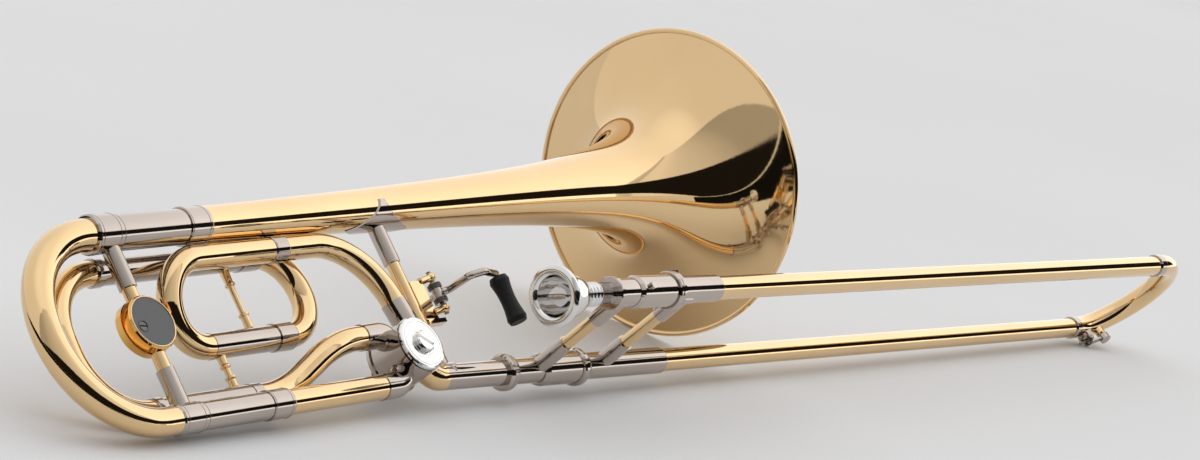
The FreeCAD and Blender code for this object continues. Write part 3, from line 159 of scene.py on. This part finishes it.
def make_camera():
    """Camera at the photograph's angle, with its roll."""
    data = bpy.data.cameras.new("camera")
    data.lens = LENS
    data.sensor_width = 36.0
    data.clip_start = 0.05
    data.clip_end = 200.0
    camera = bpy.data.objects.new("camera", data)
    bpy.context.scene.collection.objects.link(camera)
    turn = BELL.to_3x3()
    forward = (turn @ (Vector(CAMERA_AIM) - Vector(CAMERA_AT))).normalized()
    right = forward.cross(turn @ Vector(CAMERA_UP)).normalized()
    up = right.cross(forward)
    axes = Matrix((right, up, -forward)).transposed().to_4x4()
    camera.matrix_world = Matrix.Translation(BELL @ Vector(CAMERA_AT)) @ axes
    bpy.context.scene.camera = camera


make_camera()


class Shader:
    """Small helper that adds and links nodes in one material or world tree."""

    def __init__(self, tree):
        self.tree = tree
        self.tree.nodes.clear()

    def add(self, kind, settings=None, **inputs):
        node = self.tree.nodes.new(kind)
        for name, value in (settings or {}).items():
            setattr(node, name, value)
        for name, value in inputs.items():
            self.put(node, name.replace("_", " "), value)
        return node

    def put(self, node, name, value):
        socket = node.inputs[int(name)] if name.isdigit() else node.inputs[name]
        if isinstance(value, bpy.types.NodeSocket):
            self.tree.links.new(value, socket)
        else:
            socket.default_value = value

    def math(self, operation, first, second=0.0):
        node = self.add("ShaderNodeMath", {"operation": operation})
        self.put(node, "0", first)
        self.put(node, "1", second)
        return node.outputs[0]

    def dot(self, first, second):
        node = self.add("ShaderNodeVectorMath", {"operation": "DOT_PRODUCT"})
        self.put(node, "0", first)
        self.put(node, "1", second)
        return node.outputs["Value"]

    def span(self, value, start, end):
        """0 at start, 1 at end, held outside them."""
        node = self.add("ShaderNodeMapRange", Value=value, From_Min=start, From_Max=end)
        return node.outputs[0]

    def mix(self, share, first, second):
        node = self.add("ShaderNodeMix", {"data_type": "RGBA"})
        self.put(node, "0", share)
        for index, shade in (("6", first), ("7", second)):
            self.put(node, index, shade if isinstance(shade, bpy.types.NodeSocket) else (*shade, 1.0))
        return node.outputs[2]

    def ramp(self, value, stops):
        """Colours blended evenly between (position, colour) stops."""
        node = self.add("ShaderNodeValToRGB", Fac=value)
        elements = node.color_ramp.elements
        while len(elements) < len(stops):
            elements.new(0.5)
        for element, (at, shade) in zip(elements, stops):
            element.position = at
            element.color = (*shade, 1.0)
        return node.outputs["Color"]


def grey(value):
    return (value, value, value)


def bearing(degrees):
    """Level unit vector at a bearing."""
    turn = math.radians(degrees)
    return Vector((math.cos(turn), math.sin(turn), 0.0))


def make_world():
    """Soft studio: one bright side, a grey screen on the other and dark walls low down.

    Only reflections and light see them. The camera itself sees a plain backdrop."""
    world = bpy.data.worlds.new("studio")
    bpy.context.scene.world = world
    world.use_nodes = True
    s = Shader(world.node_tree)
    direction = s.add("ShaderNodeTexCoord").outputs["Generated"]
    height = s.add("ShaderNodeSeparateXYZ", Vector=direction).outputs["Z"]
    ahead = s.dot(direction, bearing(SCREEN_BEARING))
    across = s.dot(direction, bearing(SCREEN_BEARING + 90))
    depth = s.math("MAXIMUM", ahead, 0.001)
    column = s.math("DIVIDE", across, depth)
    row = s.math("DIVIDE", height, depth)
    sweep = s.span(column, -3.0, SCREEN_RIGHT_END)
    screen = s.ramp(sweep, [
        (0.0, grey(0.43)),
        (0.22, grey(0.45)),
        (0.45, grey(0.58)),
        (0.67, grey(0.72)),
        (0.78, grey(0.80)),
        (0.90, grey(0.97)),
        (0.955, grey(0.95)),
        (0.965, grey(0.62)),
        (1.0, grey(0.72)),
    ])
    lamp = s.dot(direction, bearing(LIGHT_BEARING))
    open_side = s.ramp(s.span(lamp, -1.0, 1.0), [
        (0.0, grey(0.82)),
        (0.35, grey(0.90)),
        (0.60, grey(1.02)),
        (0.85, grey(1.35)),
        (1.0, grey(1.65)),
    ])
    overhead = s.span(height, 0.80, 1.0)
    open_side = s.mix(overhead, open_side, grey(1.15))
    left_of_end = s.span(column, SCREEN_RIGHT_END + SCREEN_EDGE, SCREEN_RIGHT_END)
    inside = s.math("MULTIPLY", s.span(ahead, 0.0, 0.01), left_of_end)
    below_top = s.span(row, SCREEN_TOP + SCREEN_TOP_BLUR, SCREEN_TOP - SCREEN_TOP_BLUR)
    inside = s.math("MULTIPLY", inside, below_top)
    studio = s.mix(inside, open_side, screen)
    tops = [s.math("MULTIPLY", s.dot(direction, bearing(b)), top) for b, top in DARK_WALLS]
    below = [s.span(s.math("SUBTRACT", height, top), 0.012, -0.012) for top in tops]
    short = s.span(s.dot(direction, bearing(DARK_END_BEARING + 90)), 0.015, -0.015)
    dark = s.math("MAXIMUM", below[0], s.math("MULTIPLY", below[1], short))
    foot = s.math("MULTIPLY", s.dot(direction, bearing(DARK_FOOT[0])), DARK_FOOT[1])
    dark = s.math("MULTIPLY", dark, s.span(s.math("SUBTRACT", height, foot), -0.004, 0.004))
    studio = s.mix(dark, studio, (0.012, 0.011, 0.010))
    seen = s.add("ShaderNodeLightPath").outputs["Is Camera Ray"]
    shade = s.mix(seen, studio, grey(BACKDROP))
    light = s.add("ShaderNodeBackground", Color=shade, Strength=1.0)
    out = s.add("ShaderNodeOutputWorld")
    s.put(out, "Surface", light.outputs[0])


def stage_mesh(name, bm, material):
    """Stage object from a bmesh."""
    mesh = bpy.data.meshes.new(name)
    bm.to_mesh(mesh)
    bm.free()
    mesh.materials.append(material)
    made = bpy.data.objects.new(name, mesh)
    bpy.context.scene.collection.objects.link(made)
    return made


def make_floor():
    """Plain pale floor: a wide disc of matt paper."""
    material = bpy.data.materials.new("floor paper")
    material.use_nodes = True
    s = Shader(material.node_tree)
    place = s.add("ShaderNodeTexCoord").outputs["Object"]
    mottle = s.add("ShaderNodeTexNoise", Vector=place, Scale=1.2, Detail=2.0)
    shade = s.ramp(mottle.outputs["Fac"], [(0.3, (0.80, 0.80, 0.805)), (0.7, (0.83, 0.83, 0.835))])
    paper = s.add("ShaderNodeBsdfPrincipled", Base_Color=shade, Roughness=0.8)
    paper.inputs["Specular IOR Level"].default_value = 0.0
    out = s.add("ShaderNodeOutputMaterial")
    s.put(out, "Surface", paper.outputs[0])
    bm = bmesh.new()
    bmesh.ops.create_circle(bm, cap_ends=True, segments=96, radius=FLOOR_R)
    return stage_mesh("floor", bm, material)


def make_dark_floor():
    """Dark sheet just over the floor on the screen's side; only reflections see it."""
    material = bpy.data.materials.new("dark floor")
    material.use_nodes = True
    s = Shader(material.node_tree)
    place = s.add("ShaderNodeTexCoord").outputs["Object"]
    mottle = s.add("ShaderNodeTexNoise", Vector=place, Scale=2.0)
    shade = s.ramp(mottle.outputs["Fac"], [(0.3, grey(0.006)), (0.7, grey(0.010))])
    cloth = s.add("ShaderNodeBsdfPrincipled", Base_Color=shade, Roughness=1.0)
    cloth.inputs["Specular IOR Level"].default_value = 0.0
    out = s.add("ShaderNodeOutputMaterial")
    s.put(out, "Surface", cloth.outputs[0])
    bm = bmesh.new()
    steps = 40
    rows = []
    for step in range(steps + 1):
        side = bearing(DARK_FLOOR_BEARING + DARK_FLOOR_SWEEP * step / steps)
        spots = [side * r + Vector((0, 0, DARK_FLOOR_Z)) for r in (DARK_FLOOR_FROM, DARK_FLOOR_TO)]
        rows.append([bm.verts.new(spot) for spot in spots])
    for first, second in zip(rows, rows[1:]):
        bm.faces.new((first[0], first[1], second[1], second[0]))
    sheet = stage_mesh("dark_floor", bm, material)
    sheet.visible_camera = False
    sheet.visible_diffuse = False
    sheet.visible_shadow = False


make_world()
make_floor()
make_dark_floor()


def metal(name, tone, worn, rough, grain, coat):
    """Polished metal: cloudy tone, uneven polish, fine drawn grain and a lacquer coat."""
    material = bpy.data.materials.new(name)
    material.use_nodes = True
    s = Shader(material.node_tree)
    place = s.add("ShaderNodeTexCoord").outputs["Object"]
    cloud = s.add("ShaderNodeTexNoise", Vector=place, Scale=9.0, Detail=4.0, Roughness=0.55)
    speck = s.add("ShaderNodeTexNoise", Vector=place, Scale=420.0, Detail=3.0, Roughness=0.6)
    colour = s.ramp(cloud.outputs["Fac"], [(0.35, worn), (0.65, tone)])
    polish = s.add("ShaderNodeMapRange", Value=speck.outputs["Fac"], From_Min=0.3, From_Max=0.7,
                   To_Min=rough * 0.7, To_Max=rough * 1.4)
    bump = s.add("ShaderNodeBump", Height=speck.outputs["Fac"], Strength=grain, Distance=0.0002)
    shader = s.add("ShaderNodeBsdfPrincipled", Base_Color=colour, Metallic=1.0,
                   Roughness=polish.outputs[0], Normal=bump.outputs[0])
    shader.inputs["Coat Weight"].default_value = coat
    shader.inputs["Coat Roughness"].default_value = 0.04
    out = s.add("ShaderNodeOutputMaterial")
    s.put(out, "Surface", shader.outputs[0])
    return material


def soft(name, light, dark, scale, rough, depth, shine=0.5):
    """Rubber, cork or enamel: mottled colour with a matching bump."""
    material = bpy.data.materials.new(name)
    material.use_nodes = True
    s = Shader(material.node_tree)
    place = s.add("ShaderNodeTexCoord").outputs["Object"]
    mottle = s.add("ShaderNodeTexNoise", Vector=place, Scale=scale, Detail=5.0, Roughness=0.65)
    colour = s.ramp(mottle.outputs["Fac"], [(0.35, dark), (0.68, light)])
    polish = s.add("ShaderNodeMapRange", Value=mottle.outputs["Fac"],
                   To_Min=rough * 0.85, To_Max=rough * 1.15)
    bump = s.add("ShaderNodeBump", Height=mottle.outputs["Fac"], Strength=0.5, Distance=depth)
    shader = s.add("ShaderNodeBsdfPrincipled", Base_Color=colour, Roughness=polish.outputs[0],
                   Normal=bump.outputs[0])
    shader.inputs["Specular IOR Level"].default_value = shine
    out = s.add("ShaderNodeOutputMaterial")
    s.put(out, "Surface", shader.outputs[0])
    return material


MATERIALS = {
    "lacquer_brass": metal("lacquered brass", (0.82, 0.585, 0.315), (0.78, 0.545, 0.285), 0.035, 0.03, 0.35),
    "nickel_silver": metal("nickel silver", (0.515, 0.45, 0.40), (0.47, 0.41, 0.365), 0.06, 0.02, 0.1),
    "silver_plate": metal("silver plate", (0.80, 0.785, 0.77), (0.75, 0.735, 0.72), 0.085, 0.02, 0.0),
    "gold_plate": metal("gold plate", (0.86, 0.50, 0.14), (0.80, 0.45, 0.12), 0.07, 0.04, 0.3),
    "badge_gold": metal("badge rim gold", (0.86, 0.66, 0.36), (0.80, 0.60, 0.32), 0.07, 0.03, 0.3),
    "steel": metal("spring steel", (0.17, 0.16, 0.155), (0.12, 0.115, 0.11), 0.22, 0.10, 0.0),
    "badge_enamel": soft("badge enamel", (0.105, 0.105, 0.11), (0.09, 0.09, 0.095), 900.0, 0.3, 0.000006),
    "black_rubber": soft("black rubber", grey(0.012), grey(0.005), 700.0, 0.5, 0.0001, 0.25),
    "cork": soft("cork", (0.52, 0.34, 0.19), (0.26, 0.15, 0.08), 900.0, 0.85, 0.0004),
}


def dress_nodes():
    """Give every CAD node the procedural material of its record slot."""
    slots = {}
    for entry in frame["record"]["subparts"]:
        slots[entry["node"]] = entry.get("material_slot")
    for name, node in NODES.items():
        material = MATERIALS[slots.get(name) or "lacquer_brass"]
        node.data.materials.clear()
        node.data.materials.append(material)


dress_nodes()


def new_piece(name, bm, matrix, slot, body):
    """Visual piece from a bmesh placed by a matrix, with its material, riding on a CAD body."""
    bm.transform(matrix)
    bmesh.ops.recalc_face_normals(bm, faces=bm.faces)
    mesh = bpy.data.meshes.new(name)
    bm.to_mesh(mesh)
    bm.free()
    mesh.materials.append(MATERIALS[slot])
    mesh.shade_smooth()
    made = bpy.data.objects.new(name, mesh)
    bpy.context.scene.collection.objects.link(made)
    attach(made, body)
    return made


def lathe(profile, segments):
    """Closed profile of (distance along x, radius) turned about the x axis."""
    bm = bmesh.new()
    rings = []
    for along, radius in profile:
        ring = []
        for step in range(segments):
            turn = 2 * math.pi * step / segments
            ring.append(bm.verts.new((along, radius * math.cos(turn), radius * math.sin(turn))))
        rings.append(ring)
    for first, second in zip(rings, rings[1:] + rings[:1]):
        for step in range(segments):
            after = (step + 1) % segments
            bm.faces.new((first[step], first[after], second[after], second[step]))
    return bm


def bell_radius(x):
    return RIM_RING_R * (FLARE_DEPTH / (FLARE_DEPTH + RIM_FACE_X - x)) ** FLARE_POWER


def make_bell():
    """Bell as one smooth spinning: flare outside, rolled bead, flare inside."""
    span = RIM_FACE_X - BELL_TAIL_X
    stations = []
    for step in range(BELL_STATIONS + 1):
        share = step / BELL_STATIONS
        stations.append(BELL_TAIL_X + span * (1 - (1 - share) ** BELL_CROWDING))
    outside = [(x, bell_radius(x)) for x in stations]
    inside = [(x, bell_radius(x) - BELL_WALL) for x in stations]

    def clear_of_bead(point):
        return math.hypot(point[0] - RIM_FACE_X, point[1] - RIM_RING_R) > RIM_BEAD_R * BEAD_CLEARANCE

    outside = [point for point in outside if clear_of_bead(point)]
    inside = [point for point in inside if clear_of_bead(point)]
    first = math.atan2(outside[-1][1] - RIM_RING_R, outside[-1][0] - RIM_FACE_X)
    last = math.atan2(inside[-1][1] - RIM_RING_R, inside[-1][0] - RIM_FACE_X)
    sweep = (first - last) % (2 * math.pi)
    if sweep <= math.pi:
        sweep += 2 * math.pi
    bead = []
    for step in range(BEAD_STEPS + 1):
        turn = first - sweep * step / BEAD_STEPS
        along = RIM_FACE_X + RIM_BEAD_R * math.cos(turn)
        bead.append((along, RIM_RING_R + RIM_BEAD_R * math.sin(turn)))
    bm = lathe(outside + bead + inside[::-1], BELL_SEGMENTS)
    place = BELL @ Matrix.Translation((0, 0, BELL_AXIS_Z))
    bell = new_piece("bell_spinning", bm, place, "lacquer_brass", "bell_section")
    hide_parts("bell")


def between(before, start, end, after, t):
    """Catmull-Rom value at share t from start to end."""
    slope = end - before
    bend = 2 * before - 5 * start + 4 * end - after
    twist = 3 * start - before - 3 * end + after
    return 0.5 * (2 * start + slope * t + bend * t * t + twist * t ** 3)


def smooth(points, steps=8):
    """Points of a smooth curve through the given ones, ends included."""
    padded = [points[0]] + list(points) + [points[-1]]
    line = []
    for a, b, c, d in zip(padded, padded[1:], padded[2:], padded[3:]):
        for step in range(steps):
            t = step / steps
            line.append(tuple(between(*axis, t) for axis in zip(a, b, c, d)))
    line.append(tuple(points[-1]))
    return line


def axis_frame(point, along):
    """World matrix whose x axis runs along a direction from a point."""
    turn = Vector((1, 0, 0)).rotation_difference(Vector(along)).to_matrix().to_4x4()
    return Matrix.Translation(Vector(point)) @ turn


def make_mouthpiece():
    """Mouthpiece turned in one piece: round rim, bowl, throat, beads and shank."""
    beads = []
    for start in MOUTHPIECE_BEADS:
        for step in range(BEAD_ARC_STEPS + 1):
            turn = math.pi * step / BEAD_ARC_STEPS
            along = start + BEAD_HEIGHT - BEAD_HEIGHT * math.cos(turn)
            beads.append((along, SHANK_R + BEAD_HEIGHT * math.sin(turn)))
    outline = smooth(RIM_OUTLINE) + smooth(BOWL_OUTLINE) + beads
    outline += list(SHANK_OUTLINE) + smooth(CUP_OUTLINE)
    profile = [(x / 1000, r / 1000) for x, r in outline]
    lock = joint("slide_lock_turn")
    along = Vector(lock["axis"])
    rim_at = Vector(lock["pos_m"]) - along * RIM_BACK_TO_LOCK
    bm = lathe(profile, MOUTHPIECE_SEGMENTS)
    place = axis_frame(rim_at, along)
    piece = new_piece("mouthpiece_turning", bm, place, "silver_plate", "mouthpiece")
    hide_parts("mouthpiece")


def add_ring(bm, centre, normal, radius, thick):
    """Thin round ring about a point."""
    place = axis_frame(centre, normal)
    rings = []
    for step in range(RING_SEGMENTS):
        turn = 2 * math.pi * step / RING_SEGMENTS
        ring = []
        for side in range(RING_SIDES):
            lean = 2 * math.pi * side / RING_SIDES
            reach = radius + thick * math.cos(lean)
            spot = Vector((thick * math.sin(lean), reach * math.cos(turn), reach * math.sin(turn)))
            ring.append(bm.verts.new(place @ spot))
        rings.append(ring)
    for first, second in zip(rings, rings[1:] + rings[:1]):
        for side in range(RING_SIDES):
            after = (side + 1) % RING_SIDES
            bm.faces.new((first[side], first[after], second[after], second[side]))


def make_ring_set(name, rings, slot, body):
    """Several thin rings as one piece; each is (centre, normal, radius, thickness) in mm."""
    bm = bmesh.new()
    for centre, normal, radius, thick in rings:
        add_ring(bm, Vector(centre) / 1000, normal, radius / 1000, thick / 1000)
    new_piece(name, bm, BELL, slot, body)


def make_rings():
    """Turned lines on the ferrules, the valve cap and the badge, and a dark steel ring of painted shade round the
    badge's screw.
    """
    x_way, y_way = (1, 0, 0), (0, 1, 0)
    fixed = []
    sliding = []
    for z, setback, ring_r, sleeve_r in TUNING_TUBES:
        for x in FIXED_FERRULE_LINES:
            fixed.append(((x - setback, 0, z), x_way, ring_r, LINE_R))
        fixed.append(((SLEEVE_LINE_X - setback, 0, z), x_way, sleeve_r, LINE_R))
        for x in BOW_FERRULE_LINES:
            sliding.append(((x - setback, 0, z), x_way, ring_r, LINE_R))
    make_ring_set("sleeve_lines", fixed, "nickel_silver", "bell_section")
    make_ring_set("bow_ferrule_lines", sliding, "nickel_silver", "main_tuning_slide")
    x, z = VALVE_CENTRE
    cap = [((x, CAP_FACE_Y, z), y_way, radius, CAP_LINE_R) for radius in CAP_FACE_LINES]
    cap.append(((x, CAP_BOSS_Y, z), y_way, CAP_BOSS_R, CAP_LINE_R))
    make_ring_set("cap_lines", cap, "silver_plate", "valve_cap")
    # Painted shade: a thin dark steel ring stands for the shade in the recess round the badge's screw
    screw = [(SCREW_CENTRE, y_way, SCREW_SHADE_R, SCREW_SHADE_THICK)]
    make_ring_set("screw_recess_shade", screw, "steel", "main_tuning_slide")
    badge = [(BADGE_CENTRE, y_way, BADGE_RIM_R, BADGE_RIM_THICK)]
    make_ring_set("badge_rim", badge, "badge_gold", "main_tuning_slide")


def make_knurl():
    """Fine straight knurl round the coupling nut."""
    bm = bmesh.new()
    for step in range(KNURL_COUNT):
        turn = Matrix.Rotation(2 * math.pi * step / KNURL_COUNT, 4, "X")
        rib = turn @ Matrix.Translation((0, KNURL_R, 0)) @ Matrix.Diagonal((*KNURL_SIZE, 1))
        bmesh.ops.create_cube(bm, size=1.0, matrix=rib)
    nut = joint("coupling_nut_turn")
    place = axis_frame(nut["pos_m"], nut["axis"])
    new_piece("nut_knurl", bm, place, "nickel_silver", "coupling_nut")


def rounded(points, bend, steps=12):
    """Polyline with each corner turned into an arc of the bend radius."""
    line = [points[0]]
    for before, corner, after in zip(points, points[1:], points[2:]):
        back = (before - corner).normalized()
        ahead = (after - corner).normalized()
        half = back.angle(ahead) / 2
        middle = corner + (back + ahead).normalized() * bend / math.sin(half)
        first = (corner + back * bend / math.tan(half) - middle).normalized()
        last = (corner + ahead * bend / math.tan(half) - middle).normalized()
        for step in range(steps + 1):
            line.append(middle + first.slerp(last, step / steps) * bend)
    line.append(points[-1])
    return line


def sweep_rod(line, radius, sides=24):
    """Round rod along a line of points, closed at both ends."""
    bm = bmesh.new()
    rings = []
    across = Vector((0, 0, 1))
    for index, spot in enumerate(line):
        before = line[max(index - 1, 0)]
        after = line[min(index + 1, len(line) - 1)]
        along = (after - before).normalized()
        across = (across - along * across.dot(along)).normalized()
        side_way = along.cross(across)
        ring = []
        for side in range(sides):
            turn = 2 * math.pi * side / sides
            reach = across * radius * math.cos(turn) + side_way * radius * math.sin(turn)
            ring.append(bm.verts.new(spot + reach))
        rings.append(ring)
    for first, second in zip(rings, rings[1:]):
        for side in range(sides):
            after = (side + 1) % sides
            bm.faces.new((first[side], first[after], second[after], second[side]))
    bm.faces.new(rings[0])
    bm.faces.new(rings[-1])
    return bm


def make_lever_skin():
    """Smooth round arm over the lever's bent rod, from its hub to the elbow above the roller."""
    points = [Vector(point) / 1000 for point in LEVER_ARM]
    bm = sweep_rod(rounded(points, LEVER_ARM_BEND), LEVER_ARM_R)
    new_piece("lever_arm", bm, BELL, "nickel_silver", "thumb_lever")


make_bell()
make_lever_skin()
make_mouthpiece()
make_rings()
make_knurl()

bpy.context.scene.view_settings.view_transform = "Standard"
